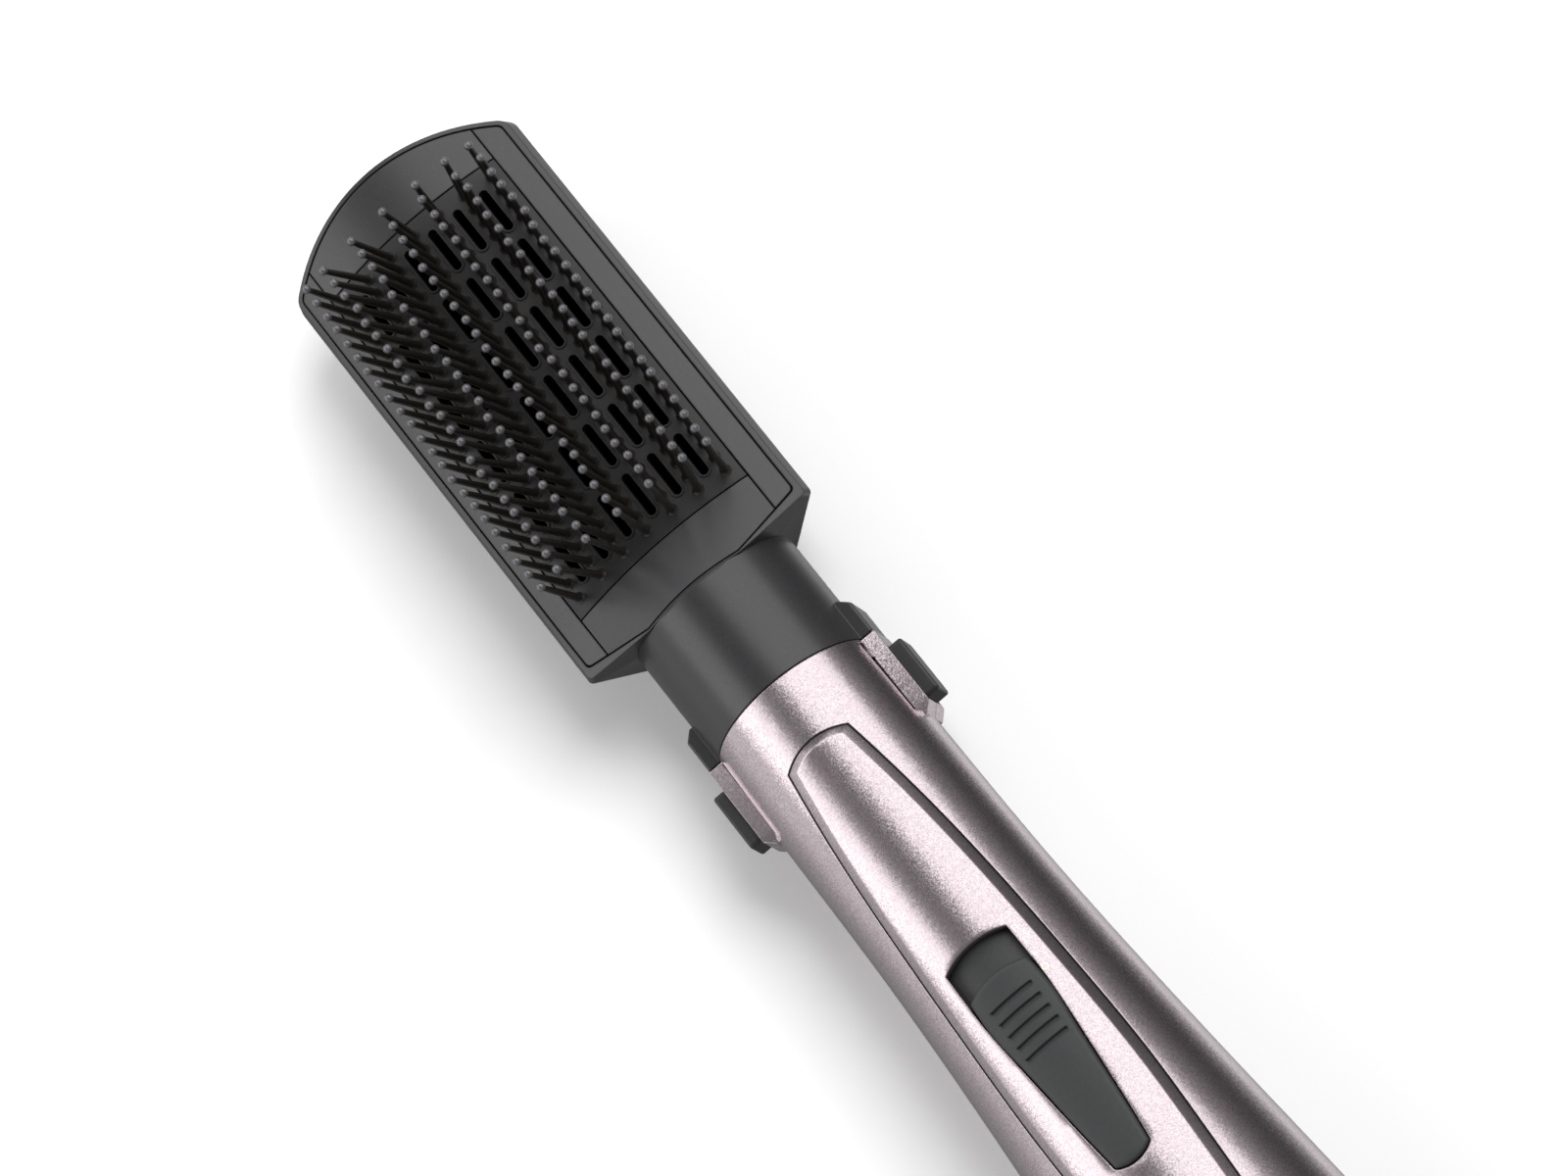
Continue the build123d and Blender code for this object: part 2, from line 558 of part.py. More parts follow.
slot_shape = SlotOverall(SLOT_LENGTH, SLOT_WIDTH, rotation=90)
lip_shape = SlotOverall(SLOT_LENGTH + 2 * SLOT_LIP, SLOT_WIDTH + 2 * SLOT_LIP, rotation=90)
columns_x = [(i - (COLUMNS - 1) / 2) * COLUMN_PITCH for i in range(COLUMNS)]
rows_y = [FIRST_ROW_Y + ROW_PITCH * i for i in range(ROWS)]
slot_places = [Pos(x + COLUMN_PITCH / 2, FIELD_Y + (row - (SLOT_ROWS - 1) / 2) * SLOT_PITCH, 0)
               for x in columns_x[:-1] for row in range(SLOT_ROWS)]
lips = Sketch() + [place * (lip_shape - slot_shape) for place in slot_places]
slots = Sketch() + [place * slot_shape for place in slot_places]
pad += prism(lips, -5, 60) & (crown(-SLOT_LIP_RISE) - crown(0.4))
pad -= prism(slots, -5, 60)


def leaned(x, shape):
    """A shape drawn upright at the origin, stood on the pad at x with its lean."""
    column = round(x / COLUMN_PITCH)
    lean = math.copysign(LEAN_DEG[abs(column)], x) if column else 0.0
    return Pos(x, 0, crown_z(x)) * Rot(0, lean, 0) * shape


shaft = revolve(make_face(Polyline((0, -BRISTLE_ROOT), (BRISTLE_BASE_R, -BRISTLE_ROOT), (BRISTLE_BASE_R, 0),
                                   (BRISTLE_TIP_R, BRISTLE_LENGTH - BALL_R),
                                   (0, BRISTLE_LENGTH - BALL_R), close=True)), Axis.Y)
bristle = Rot(90, 0, 0) * shaft + Pos(0, 0, BRISTLE_LENGTH - BALL_R) * Sphere(BALL_R)
bristle_strips = []
for x in columns_x:
    one = leaned(x, bristle)
    lean_shift = math.tan(math.radians(LEAN_DEG[abs(round(x / COLUMN_PITCH))])) * BRISTLE_ROOT
    foot_x = x - math.copysign(lean_shift, x) if abs(x) > 1 else 0.0
    foot_z = crown_z(x) - BRISTLE_ROOT
    bar = box(foot_x - 1.5, foot_x + 1.5, PAD_REAR_Y + 1.5, PAD_FRONT_Y - 1.5, foot_z - 1.2, foot_z + 0.4)
    strip = bar + [Pos(0, y, 0) * one for y in rows_y]
    bristle_strips.append(strip)
    hole = leaned(x, Pos(0, 0, -2) * Cylinder(BRISTLE_BASE_R + 0.1, 8))
    pad -= [Pos(0, y, 0) * hole for y in rows_y]

# ---------------------------------------------------------------- all the pieces
pieces = {
    "head_back_shell": head_shell,
    "head_neck": head_neck,
    "head_screws": head_screws,
    "side_strip_left": side_strip_left,
    "side_strip_right": side_strip_right,
    "top_panel": top_panel,
    "bottom_panel": bottom_panel,
    "bristle_pad": pad,
    "upper_shell": upper_shell,
    "lower_shell": lower_shell,
    "shell_screws": shell_screws,
    "switch_panel": switch_panel,
    "switch_knob": switch_knob,
    "switch_sled": switch_sled,
    "switch_body": switch_body,
    "release_button_left": release_button_left,
    "release_button_right": release_button_right,
    "latch_arm_left": latch_arm_left,
    "latch_arm_right": latch_arm_right,
    "outlet_barrel": outlet_barrel,
    "outlet_grille": outlet_grille,
    "mica_sleeve": mica_sleeve,
    "mica_plate_flat": mica_plate_flat,
    "mica_plate_upright": mica_plate_upright,
    "heater_coil": heater_coil,
    "thermostat": thermostat,
    "thermal_fuse": thermal_fuse,
    "motor": motor,
    "motor_mount": motor_mount,
    "motor_shaft": motor_shaft,
    "impeller": impeller,
    "rectifier_board": rectifier_board,
    "rear_cap": rear_cap,
    "intake_filter": intake_filter,
    "cord_gland": cord_gland,
    "gland_retainer": gland_retainer,
}
for i, strip in enumerate(bristle_strips):
    pieces[f"bristle_strip_{i + 1}"] = strip

# Stand the brush on Z = 0 with its middle at Y = 0
LOWEST = BARREL_PROFILE[-1][1]
MIDDLE_Y = (HEAD_TIP + GLAND_END) / 2
for name, piece in pieces.items():
    export_step(Pos(0, -MIDDLE_Y, LOWEST) * piece, f"parts/{name}.step")
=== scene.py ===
"""A hot air brush on a pale floor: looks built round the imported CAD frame."""

import json
import math
import random

import bpy
import numpy as np
from mathutils import Matrix, Vector
from mathutils.geometry import delaunay_2d_cdt


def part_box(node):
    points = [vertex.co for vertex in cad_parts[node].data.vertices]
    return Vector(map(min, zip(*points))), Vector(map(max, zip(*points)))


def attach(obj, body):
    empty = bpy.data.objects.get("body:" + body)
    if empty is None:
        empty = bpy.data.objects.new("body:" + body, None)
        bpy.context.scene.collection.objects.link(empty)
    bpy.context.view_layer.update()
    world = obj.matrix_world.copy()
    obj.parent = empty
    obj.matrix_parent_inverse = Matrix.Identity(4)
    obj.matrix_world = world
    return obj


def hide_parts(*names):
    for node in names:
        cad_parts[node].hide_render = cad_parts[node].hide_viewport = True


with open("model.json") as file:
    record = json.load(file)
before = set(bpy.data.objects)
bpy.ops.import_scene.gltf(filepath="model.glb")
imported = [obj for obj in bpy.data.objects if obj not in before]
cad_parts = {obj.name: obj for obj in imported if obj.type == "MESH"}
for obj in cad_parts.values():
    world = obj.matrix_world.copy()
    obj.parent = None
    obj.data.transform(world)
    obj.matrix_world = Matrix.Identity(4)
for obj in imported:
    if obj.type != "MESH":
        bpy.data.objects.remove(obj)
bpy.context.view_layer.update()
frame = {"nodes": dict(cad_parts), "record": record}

MM = 0.001

# The seam between handle and head, on the barrel's axis, is the pieces' origin.
SEAM = Vector((0.0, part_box("upper_shell")[1].y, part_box("upper_shell")[0].z))


# ------------------------------------------------------------------ view
VIEW_TILT = math.radians(21.5)      # camera leans this far towards the handle
VIEW_SIDE = math.radians(6.9)       # and this far to the right
VIEW_ROLL = math.radians(38.6)      # turn about the line of sight
VIEW_TARGET = Vector((14.1, 24.1, 0.0)) * MM    # middle of the picture, from the seam
VIEW_DISTANCE = 1.6
LENS = 162.0
SENSOR = 36.0


def make_camera():
    """A long lens above the brush, rolled so that the brush lies diagonally."""
    right = Vector((math.cos(VIEW_SIDE), 0.0, -math.sin(VIEW_SIDE)))
    back = Vector((math.sin(VIEW_SIDE) * math.cos(VIEW_TILT), -math.sin(VIEW_TILT),
                   math.cos(VIEW_SIDE) * math.cos(VIEW_TILT)))
    up = back.cross(right)
    rolled_right = right * math.cos(VIEW_ROLL) - up * math.sin(VIEW_ROLL)
    rolled_up = right * math.sin(VIEW_ROLL) + up * math.cos(VIEW_ROLL)
    turn = Matrix((rolled_right, rolled_up, back)).transposed().to_4x4()
    data = bpy.data.cameras.new("camera")
    data.lens = LENS
    data.sensor_width = SENSOR
    data.clip_end = 20.0
    camera = bpy.data.objects.new("camera", data)
    place = SEAM + VIEW_TARGET + back * VIEW_DISTANCE
    camera.matrix_world = Matrix.Translation(place) @ turn
    bpy.context.scene.collection.objects.link(camera)
    bpy.context.scene.camera = camera


# ------------------------------------------------------------------ lights
# Brightness of the room at angles from straight up, left (-) to right (+)
ROOM = [(-180, 0.16), (-150, 0.22), (-127, 0.34), (-110, 0.46), (-88, 0.84), (-66, 0.62), (-27, 0.26),
        (-9, 0.14), (6, 0.22), (74, 0.25), (86, 0.22), (96, 0.11), (108, 0.07), (120, 0.06), (133, 0.25),
        (150, 0.95), (180, 0.2)]
# Each light: angle about the barrel, distance from it, how far along it from the seam,
# size (the first number runs along the barrel), brightness
LEFT_BOX = (-47, 1.5, 0.6, (3.0, 0.88), 1.45)
RIGHT_BOX = (40.5, 1.5, 0.6, (3.0, 1.66), 1.43)
KEY = (31, 1.6, 0.25, (0.8, 0.8), 8.4)


def area_light(name, angle, distance, along, size, radiance):
    """A soft box at an angle from straight up about the barrel, facing the seam."""
    turn = math.radians(angle)
    place = SEAM + Vector((math.sin(turn) * distance, along, math.cos(turn) * distance))
    data = bpy.data.lights.new(name, "AREA")
    data.shape = "RECTANGLE"
    data.size, data.size_y = size
    data.energy = radiance * math.pi * size[0] * size[1]
    light = bpy.data.objects.new(name, data)
    facing = (SEAM - place).to_track_quat("-Z", "Y")
    light.matrix_world = Matrix.Translation(place) @ facing.to_matrix().to_4x4()
    bpy.context.scene.collection.objects.link(light)
    return light


def make_lights():
    """Two long soft boxes either side of the barrel, a key that gloss does not show, and a grey room."""
    area_light("left_box", *LEFT_BOX)
    area_light("right_box", *RIGHT_BOX)
    key = area_light("key", *KEY)
    key.visible_glossy = False
    world = bpy.data.worlds.new("studio")
    world.use_nodes = True
    tree = world.node_tree
    background = tree.nodes["Background"]
    coordinates = tree.nodes.new("ShaderNodeTexCoord")
    split = tree.nodes.new("ShaderNodeSeparateXYZ")
    around = tree.nodes.new("ShaderNodeMath")
    around.operation = "ARCTAN2"
    side = tree.nodes.new("ShaderNodeMapRange")
    side.inputs["From Min"].default_value = -math.pi
    side.inputs["From Max"].default_value = math.pi
    ramp = tree.nodes.new("ShaderNodeValToRGB")
    # The ramp starts with two elements, and the rest go in between
    elements = ramp.color_ramp.elements
    for angle, level in ROOM[1:-1]:
        elements.new(angle / 360 + 0.5)
    for element, (angle, level) in zip(elements, ROOM):
        element.position = angle / 360 + 0.5
        element.color = (level, level, level, 1.0)
    tree.links.new(coordinates.outputs["Generated"], split.inputs[0])
    tree.links.new(split.outputs["X"], around.inputs[0])
    tree.links.new(split.outputs["Z"], around.inputs[1])
    tree.links.new(around.outputs["Value"], side.inputs["Value"])
    tree.links.new(side.outputs["Result"], ramp.inputs["Fac"])
    tree.links.new(ramp.outputs["Color"], background.inputs["Color"])
    bpy.context.scene.world = world
    bpy.context.scene.view_settings.view_transform = "Standard"


# ------------------------------------------------------------------ materials
SHELL_PINK = (0.60, 0.52, 0.545)
SATIN_BLACK = (0.020, 0.020, 0.0215)
LACQUER_ROUGHNESS = 0.24
FLAKE_SCALE = 5000.0       # flakes to the metre
FLAKE_LEAN = 0.085         # how far a flake's normal turns, at most
FLAKE_CONTRAST = 0.28      # how much lighter or darker a flake is, at most
CLUMP_SHARE = 0.3          # how much of a flake's tone it shares with its neighbours
PATCH_SCALE = 900.0        # soft patches of tone in plastic, to the metre
BEVEL_SAMPLES = 6


class Paint:
    """A material under construction, with short ways to add nodes."""

    def __init__(self, name, color, roughness, metallic=0.0):
        self.material = bpy.data.materials.new(name)
        self.material.use_nodes = True
        self.tree = self.material.node_tree
        self.shader = self.tree.nodes["Principled BSDF"]
        self.set("Base Color", (*color, 1.0))
        self.set("Roughness", roughness)
        self.set("Metallic", metallic)
        self.place = self.node("ShaderNodeTexCoord").outputs["Object"]

    def set(self, socket, value):
        """Set one of the shader's own numbers."""
        self.shader.inputs[socket].default_value = value

    def node(self, kind, **settings):
        """Add a node, setting its inputs or links by name."""
        made = self.tree.nodes.new(kind)
        for key, value in settings.items():
            socket = made.inputs[key.replace("_", " ")]
            if isinstance(value, bpy.types.NodeSocket):
                self.tree.links.new(value, socket)
            else:
                socket.default_value = value
        return made

    def noise(self, scale, detail=2.0, place=None):
        """Soft noise from 0 to 1."""
        made = self.node("ShaderNodeTexNoise", Vector=place or self.place, Scale=scale, Detail=detail)
        return made.outputs["Fac"]

    def spread(self, value, low, high):
        """Map a value from 0..1 to low..high."""
        made = self.node("ShaderNodeMapRange", Value=value, To_Min=low, To_Max=high)
        return made.outputs["Result"]

    def stretched(self, scale):
        """Places on the part, scaled along each axis."""
        made = self.node("ShaderNodeMapping", Vector=self.place)
        made.inputs["Scale"].default_value = scale
        return made.outputs["Vector"]

    def shade(self, value, dark, light):
        """Colour that goes from dark to light with a value."""
        ramp = self.node("ShaderNodeValToRGB", Fac=value)
        ramp.color_ramp.elements[0].color = (*dark, 1.0)
        ramp.color_ramp.elements[1].color = (*light, 1.0)
        return ramp.outputs["Color"]

    def channel(self, texture):
        """The first channel of a texture's colour, which is random for each cell."""
        return self.node("ShaderNodeSeparateColor", Color=texture.outputs["Color"]).outputs["Red"]

    def link(self, output, socket):
        """Feed one of the shader's sockets."""
        self.tree.links.new(output, self.shader.inputs[socket])

    def vector(self, operation, *values):
        """A step of vector arithmetic on links or fixed vectors."""
        made = self.tree.nodes.new("ShaderNodeVectorMath")
        made.operation = operation
        for value, socket in zip(values, made.inputs):
            if isinstance(value, bpy.types.NodeSocket):
                self.tree.links.new(value, socket)
            else:
                socket.default_value = value
        return made

    def bump(self, height, depth, strength=1.0, rounding=0.0):
        """Bump from a height of 0 to 1, depth in millimetres, on rounded edges."""
        made = self.node("ShaderNodeBump", Height=height, Distance=depth * MM, Strength=strength)
        if rounding:
            self.tree.links.new(self.rounded(rounding), made.inputs["Normal"])
        return made.outputs["Normal"]

    def rounded(self, radius):
        """Normals that turn smoothly across sharp edges."""
        made = self.node("ShaderNodeBevel", Radius=radius * MM)
        made.samples = BEVEL_SAMPLES
        return made.outputs["Normal"]


def shades(color, darker, lighter):
    """A darker and a lighter version of a colour."""
    return (tuple(channel * darker for channel in color),
            tuple(min(1.0, channel * lighter) for channel in color))


def lacquer(name, color, rounding):
    """Metallic lacquer: small flakes that each lean their own way, under a clear coat."""
    paint = Paint(name, color, LACQUER_ROUGHNESS, metallic=1.0)
    cells = paint.node("ShaderNodeTexVoronoi", Vector=paint.place, Scale=FLAKE_SCALE)
    centred = paint.vector("SUBTRACT", cells.outputs["Color"], (0.5, 0.5, 0.5))
    lean = paint.vector("SCALE", centred.outputs[0])
    lean.inputs["Scale"].default_value = FLAKE_LEAN
    turned = paint.vector("ADD", paint.rounded(rounding), lean.outputs[0])
    paint.link(paint.vector("NORMALIZE", turned.outputs[0]).outputs[0], "Normal")
    clumps = paint.node("ShaderNodeTexVoronoi", Vector=paint.place, Scale=FLAKE_SCALE * 0.5)
    blend = paint.node("ShaderNodeMix", Factor=CLUMP_SHARE, A=paint.channel(cells),
                       B=paint.channel(clumps))
    tones = shades(color, 1.0 - FLAKE_CONTRAST, 1.0 + FLAKE_CONTRAST)
    paint.link(paint.shade(blend.outputs["Result"], *tones), "Base Color")
    paint.set("Coat Weight", 0.25)
    paint.set("Coat Roughness", 0.12)
    return paint.material


def satin(name, color, roughness, grain=0.006, grain_scale=2600.0, rounding=0.0, shine=0.5):
    """Moulded plastic with a fine spark-eroded grain."""
    paint = Paint(name, color, roughness)
    paint.link(paint.bump(paint.noise(grain_scale, 3.0), grain, 1.0, rounding), "Normal")
    worn = paint.noise(grain_scale * 0.5)
    paint.link(paint.spread(worn, roughness - 0.07, roughness + 0.07), "Roughness")
    paint.link(paint.shade(paint.noise(PATCH_SCALE, 4.0), *shades(color, 0.85, 1.15)), "Base Color")
    paint.set("Specular IOR Level", shine)
    return paint.material


def brushed(name, color, roughness, across):
    """Bare metal with fine lines along the part's length and patches of tarnish."""
    paint = Paint(name, color, roughness, metallic=1.0)
    lines = paint.noise(1.0, 3.0, paint.stretched((across, across * 0.04, across)))
    paint.link(paint.bump(lines, 0.004, 0.6), "Normal")
    paint.link(paint.spread(lines, roughness - 0.1, roughness + 0.15), "Roughness")
    paint.link(paint.shade(paint.noise(260.0, 4.0), *shades(color, 0.7, 1.0)), "Base Color")
    return paint.material


def flaky_mica():
    """Pressed mica: overlapping scales of amber and silver, a little glossy."""
    paint = Paint("mica", (0.5, 0.42, 0.3), 0.35)
    scales = paint.node("ShaderNodeTexVoronoi", Vector=paint.stretched((420.0, 420.0, 420.0)), Scale=1.0)
    tone = paint.channel(scales)
    paint.link(paint.shade(tone, (0.34, 0.25, 0.14), (0.62, 0.55, 0.43)), "Base Color")
    paint.link(paint.spread(tone, 0.22, 0.5), "Roughness")
    paint.link(paint.bump(scales.outputs["Distance"], 0.03, 0.7), "Normal")
    return paint.material


def woven(name, color, roughness, pitch, depth):
    """Threads that cross, as in a filter cloth or the glass cloth of a board.

    Pitch is the texture's scale and depth is in millimetres."""
    paint = Paint(name, color, roughness)
    threads = []
    for direction in ("X", "Z"):
        wave = paint.node("ShaderNodeTexWave", Vector=paint.place, Scale=pitch)
        wave.bands_direction = direction
        threads.append(wave.outputs["Fac"])
    crossed = paint.node("ShaderNodeMath")
    crossed.operation = "MAXIMUM"
    for thread, socket in zip(threads, crossed.inputs):
        paint.tree.links.new(thread, socket)
    paint.link(paint.bump(crossed.outputs[0], depth, 0.8), "Normal")
    paint.link(paint.shade(crossed.outputs[0], *shades(color, 0.45, 1.0)), "Base Color")
    paint.link(paint.spread(paint.noise(1500.0), roughness - 0.08, roughness + 0.08), "Roughness")
    return paint.material


def all_materials():
    """One look for each material slot of the record."""
    return {
        "metallic_shell": lacquer("metallic_shell", SHELL_PINK, 0.4),
        "black_satin": satin("black_satin", SATIN_BLACK, 0.3, rounding=0.5, shine=0.72),
        "bristle_black": satin("bristle_black", (0.020, 0.017, 0.014), 0.36, grain=0.003, shine=0.7),
        "pad_black": satin("pad_black", (0.011, 0.011, 0.011), 0.45, rounding=0.15),
        "switch_black": satin("switch_black", (0.030, 0.031, 0.032), 0.5, rounding=0.3),
        "inner_plastic": satin("inner_plastic", (0.05, 0.05, 0.052), 0.5, grain=0.01,
                               grain_scale=1500.0),
        "mica": flaky_mica(),
        "heater_wire": brushed("heater_wire", (0.42, 0.36, 0.31), 0.38, 2400.0),
        "steel": brushed("steel", (0.62, 0.62, 0.61), 0.3, 3000.0),
        "board": woven("board", (0.03, 0.16, 0.06), 0.35, 300.0, 0.01),
        "filter_mesh": woven("filter_mesh", (0.05, 0.05, 0.052), 0.75, 260.0, 0.15),
        "soft_black": satin("soft_black", (0.026, 0.026, 0.027), 0.62, grain=0.02,
                            grain_scale=1800.0, shine=0.35),
    }


def dress_nodes(looks):
    """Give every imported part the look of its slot."""
    for part in frame["record"]["subparts"]:
        node = frame["nodes"][part["node"]]
        node.data.materials.clear()
        node.data.materials.append(looks[part["material_slot"]])


# How far the head's hollow lies inside the shell's box at its low and high corners,
# the last number measured down from the top of the pad
HOLLOW_LOW = Vector((3.0, 7.0, 1.0)) * MM
HOLLOW_HIGH = Vector((3.0, 4.0, 1.5)) * MM


def dress_head_shell():
    """The head's shell gets near-black painted shade on its inner faces, so that the air slots read as
    holes.
    """
    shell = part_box("head_back_shell")
    low = shell[0] + HOLLOW_LOW
    high = Vector((shell[1].x, shell[1].y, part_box("bristle_pad")[1].z)) - HOLLOW_HIGH
    node = frame["nodes"]["head_back_shell"]
    # Painted shade: faces turned into the hollow get a near-black look with no shine.
    node.data.materials.append(satin("hollow_painted_shade", (0.001, 0.001, 0.001), 0.9, shine=0.0))
    for face in node.data.polygons:
        centre = node.matrix_world @ face.center
        facing_in = face.normal.dot((low + high) / 2 - centre) > 0
        if facing_in and all(low[i] < centre[i] < high[i] for i in range(3)):
            face.material_index = 1


def dress_saddle():
    """The saddle behind the pad is duller, so it picks up nothing of the bristles."""
    look = satin("saddle_satin", (0.025, 0.025, 0.027), 0.4, rounding=0.3, shine=0.65)
    frame["nodes"]["bottom_panel"].data.materials[0] = look


def dress_buttons():
    """The release buttons are a shade blacker and smoother than the switch."""
    look = satin("button_black", (0.019, 0.019, 0.020), 0.38, rounding=0.5, shine=0.6)
    for name in ("release_button_left", "release_button_right"):
        frame["nodes"][name].data.materials[0] = look


# ------------------------------------------------------------------ barrel surface
# Radius of the barrel at distances behind the seam: (radius, y), in millimetres
BARREL = [(22.0, 0.0), (22.5, -31.0), (23.1, -65.0), (24.7, -98.0), (27.35, -136.0), (30.0, -171.0),
          (31.2, -196.0)]


def natural_spline(knots, values):
    """Second derivatives of the smooth curve through (knots, values), straight at both ends."""
    count = len(knots)
    gaps = np.diff(knots)
    system = np.eye(count)
    right = np.zeros(count)
    for i in range(1, count - 1):
        system[i, i - 1:i + 2] = (gaps[i - 1], 2 * (gaps[i - 1] + gaps[i]), gaps[i])
        slope_after = (values[i + 1] - values[i]) / gaps[i]
        slope_before = (values[i] - values[i - 1]) / gaps[i - 1]
        right[i] = 6 * (slope_after - slope_before)
    return np.linalg.solve(system, right)


def spline_at(knots, values, bends, at):
    """Value of a natural spline."""
    i = int(np.clip(np.searchsorted(knots, at) - 1, 0, len(knots) - 2))
    gap = knots[i + 1] - knots[i]
    a = (knots[i + 1] - at) / gap
    b = (at - knots[i]) / gap
    curve = ((a ** 3 - a) * bends[i] + (b ** 3 - b) * bends[i + 1]) * gap * gap / 6
    return a * values[i] + b * values[i + 1] + curve


class Profile:
    """A smooth curve value(y) through a few (value, y) points."""

    def __init__(self, points):
        ordered = sorted((y, value) for value, y in points)
        self.knots = np.array([y for y, _ in ordered])
        self.values = np.array([value for _, value in ordered])
        self.bends = natural_spline(self.knots, self.values)

    def __call__(self, y):
        return spline_at(self.knots, self.values, self.bends, y)


barrel_radius = Profile(BARREL)


def on_barrel(x, y, level):
    """Point above (x, y) on the barrel's surface moved out by level."""
    radius = barrel_radius(y) + level
    return (x, y, math.sqrt(max(radius * radius - x * x, 0.0)))


# ------------------------------------------------------------------ mesh building
def place_piece(name, points, faces, looks, body, replaced=(), face_looks=None, sharp=35.0):
    """Make a piece from points in millimetres about the seam, attach it to its body and hide the parts
    it replaces.
    """
    mesh = bpy.data.meshes.new(name)
    spots = [tuple(SEAM[i] + point[i] * MM for i in range(3)) for point in points]
    mesh.from_pydata(spots, [], faces)
    for look in looks:
        mesh.materials.append(look)
    if face_looks:
        mesh.polygons.foreach_set("material_index", face_looks)
    mesh.shade_smooth()
    mesh.set_sharp_from_angle(angle=math.radians(sharp))
    mesh.update()
    piece = bpy.data.objects.new(name, mesh)
    bpy.context.scene.collection.objects.link(piece)
    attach(piece, body)
    if replaced:
        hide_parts(*replaced)


LEAF_END_STEPS = 16
MITRE_LIMIT = 1.6
LOOP_TOLERANCE = 0.001      # millimetres that a moved corner may fall short of its distance


def leaf(side, front_y, rear_y, step=1.5):
    """Closed anticlockwise outline: curved sides, arched front and rear ends."""
    width = Profile(side)
    first, last = side[0][1], side[-1][1]
    count = int((first - last) / step)
    side_ys = [first + (last - first) * i / count for i in range(count + 1)]
    right = [(width(y), y) for y in side_ys]
    front = arc_points((-side[0][0], first), (0.0, front_y), (side[0][0], first), LEAF_END_STEPS)
    rear = arc_points((side[-1][0], last), (0.0, rear_y), (-side[-1][0], last), LEAF_END_STEPS)
    left = [(-x, y) for x, y in reversed(right)]
    loop = front[:-1] + right[:-1] + rear[:-1] + left[:-1]
    return loop[::-1]


def arc_points(start, middle, end, count):
    """Points on the arc through three points whose middle lies on x = 0."""
    half = start[0] if start[0] > 0 else end[0]
    rise = middle[1] - start[1]
    radius = (half * half + rise * rise) / (2 * rise)
    centre_y = middle[1] - radius
    points = []
    for i in range(count + 1):
        x = start[0] + (end[0] - start[0]) * i / count
        points.append((x, centre_y + math.copysign(math.sqrt(radius * radius - x * x), radius)))
    return points


def inset_loop(loop, distance):
    """An anticlockwise loop moved inwards by distance, mitred at its corners."""
    if distance == 0:
        return list(loop)
    points = np.array(loop)
    before = points - np.roll(points, 1, axis=0)
    after = np.roll(points, -1, axis=0) - points
    before /= np.linalg.norm(before, axis=1)[:, None]
    after /= np.linalg.norm(after, axis=1)[:, None]
    normals = np.stack([-(before[:, 1] + after[:, 1]), before[:, 0] + after[:, 0]], axis=1)
    lengths = np.linalg.norm(normals, axis=1)[:, None]
    normals /= lengths
    mitre = np.clip(2.0 / lengths, 1.0, MITRE_LIMIT)
    moved = points + normals * mitre * distance
    kept = np.flatnonzero(gap_to_loop(moved, points) > abs(distance) - LOOP_TOLERANCE)
    nearest = kept[np.argmin(np.abs(np.arange(len(moved))[:, None] - kept[None, :]), axis=1)]
    return [tuple(point) for point in moved[nearest]]


def distinct(loop):
    """The corners of a loop without the ones that repeat their neighbour."""
    pairs = zip(loop, loop[-1:] + loop[:-1])
    return np.array([point for point, last in pairs if math.dist(point, last) > 1e-6])


def gap_to_loop(points, loop):
    """Distance from each point to the nearest edge of a closed loop."""
    run = np.roll(loop, -1, axis=0) - loop
    offset = points[:, None, :] - loop[None, :, :]
    along = np.clip((offset * run).sum(axis=2) / (run * run).sum(axis=1), 0.0, 1.0)
    return np.linalg.norm(offset - along[:, :, None] * run, axis=2).min(axis=1)


def inside(points, loop):
    """Which points lie inside a closed loop."""
    x, y = points[:, 0], points[:, 1]
    result = np.zeros(len(points), bool)
    corners = np.array(loop)
    for (ax, ay), (bx, by) in zip(corners, np.roll(corners, -1, axis=0)):
        crosses = (ay > y) != (by > y)
        if ay != by:
            result ^= crosses & (x < (bx - ax) * (y - ay) / (by - ay) + ax)
    return result


